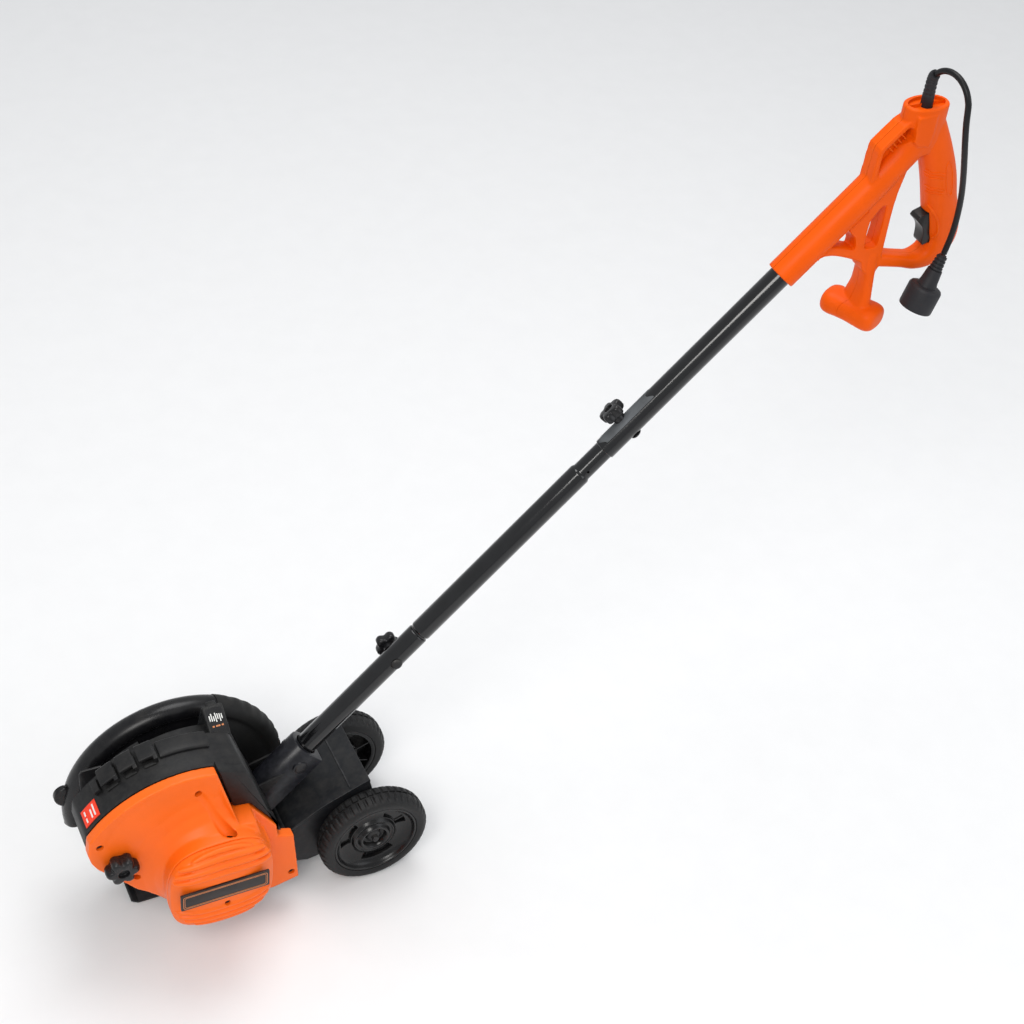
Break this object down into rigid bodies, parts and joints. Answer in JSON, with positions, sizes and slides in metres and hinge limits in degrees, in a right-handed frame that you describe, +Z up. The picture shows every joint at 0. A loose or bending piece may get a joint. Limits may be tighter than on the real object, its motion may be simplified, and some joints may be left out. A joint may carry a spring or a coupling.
{
  "type": "lawn edger",
  "caption": "Corded walk-behind lawn edger with a guarded vertical blade, wheel carriage, depth lever, edge guide, three-piece pole and D-handle.",
  "frame": {"origin": "under the middle of the machine's length and width, on the floor it stands on", "axes": "+Z up; +X from the blade end toward the handle; +Y toward the blade side, away from the motor"},
  "size_m": [0.9843, 0.213, 0.9129],
  "materials": {
    "black_plastic": "matte",
    "gloss_black_plastic": "satin",
    "orange_plastic": "satin",
    "black_paint": "gloss",
    "steel": "satin",
    "copper": "satin",
    "tyre": "matte",
    "cord_rubber": "satin"
  },
  "bodies": {
    "frame": {"gear_housing": "black_plastic", "gear_cover": "black_plastic", "switch_body": "black_plastic", "rear_deflector": "black_plastic", "brush_upper": "black_plastic", "brush_lower": "black_plastic", "badge_plate": "black_plastic", "blade_guard": "gloss_black_plastic", "motor_housing": "orange_plastic", "motor_end_cap": "orange_plastic", "handle_shell_near": "orange_plastic", "handle_shell_far": "orange_plastic", "lower_tube": "black_paint", "middle_tube": "black_paint", "upper_tube": "black_paint", "housing_screw_1": "steel", "housing_screw_2": "steel", "housing_screw_3": "steel", "housing_screw_4": "steel", "guard_screw_1": "steel", "guard_screw_2": "steel", "socket_bolt": "steel", "upper_joint_bolt": "steel", "lower_joint_bolt": "steel", "motor_bearing_front": "steel", "motor_bearing_rear": "steel", "spindle_bearing_inner": "steel", "spindle_bearing_outer": "steel", "stator": "steel", "plug_blade_1": "copper", "plug_blade_2": "copper", "cord": "cord_rubber", "plug_body": "cord_rubber", "strain_relief": "cord_rubber"},
    "guide_knob": {"guide_knob": "black_plastic", "guide_bolt": "steel"},
    "edge_guide": {"edge_guide": "black_paint"},
    "armature": {"armature": "steel", "commutator": "copper", "cooling_fan": "black_plastic", "pinion": "steel"},
    "spindle": {"spindle": "steel", "spindle_gear": "steel", "blade": "steel", "outer_flange": "steel", "blade_nut": "steel"},
    "carriage": {"wheel_carriage": "black_plastic", "axle": "steel", "push_nut_near": "steel", "push_nut_far": "steel", "depth_lever": "black_plastic"},
    "wheel_near": {"wheel_hub_near": "black_plastic", "tyre_near": "tyre"},
    "wheel_far": {"wheel_hub_far": "black_plastic", "tyre_far": "tyre"},
    "upper_knob": {"upper_joint_knob": "black_plastic"},
    "lower_knob": {"lower_joint_knob": "black_plastic"},
    "trigger": {"trigger": "gloss_black_plastic", "trigger_spring": "steel"}
  },
  "joints": [
    {"name": "motor_spin", "type": "hinge", "parent": "frame", "child": "armature", "pos_m": [-0.3562, -0.045, 0.136], "axis": [0, 1, 0], "continuous": true},
    {"name": "spindle_spin", "type": "hinge", "parent": "frame", "child": "spindle", "pos_m": [-0.3562, 0.055, 0.113], "axis": [0, 1, 0], "continuous": true},
    {"name": "depth_swing", "type": "hinge", "parent": "frame", "child": "carriage", "pos_m": [-0.3562, 0.055, 0.113], "axis": [0, -1, 0], "range_deg": [0, 16]},
    {"name": "wheel_near_spin", "type": "hinge", "parent": "carriage", "child": "wheel_near", "pos_m": [-0.1622, -0.031, 0.064], "axis": [0, 1, 0], "continuous": true},
    {"name": "wheel_far_spin", "type": "hinge", "parent": "carriage", "child": "wheel_far", "pos_m": [-0.1622, 0.092, 0.064], "axis": [0, 1, 0], "continuous": true},
    {"name": "guide_slide", "type": "slide", "parent": "frame", "child": "edge_guide", "axis": [0, 0, 1], "range_m": [0, 0.03]},
    {"name": "guide_knob_turn", "type": "hinge", "parent": "frame", "child": "guide_knob", "pos_m": [-0.4537, -0.045, 0.164], "axis": [0, -1, 0], "continuous": true},
    {"name": "lower_knob_turn", "type": "hinge", "parent": "frame", "child": "lower_knob", "pos_m": [-0.1232, 0.025, 0.2774], "axis": [0.1218, 0.9853, -0.1201], "continuous": true},
    {"name": "upper_knob_turn", "type": "hinge", "parent": "frame", "child": "upper_knob", "pos_m": [0.12817, 0.025, 0.5323], "axis": [-0.6387, 0.442, 0.6298], "continuous": true},
    {"name": "trigger_pull", "type": "slide", "parent": "frame", "child": "trigger", "axis": [0.957, 0, 0.29], "range_m": [0, 0.0035], "stiffness_N_per_m": 800, "springref_m": -0.003, "deforming": ["trigger_spring"]}
  ],
  "couplings": [
    {"joint": "spindle_spin", "follows": "motor_spin", "ratio": -0.24324}
  ]
}
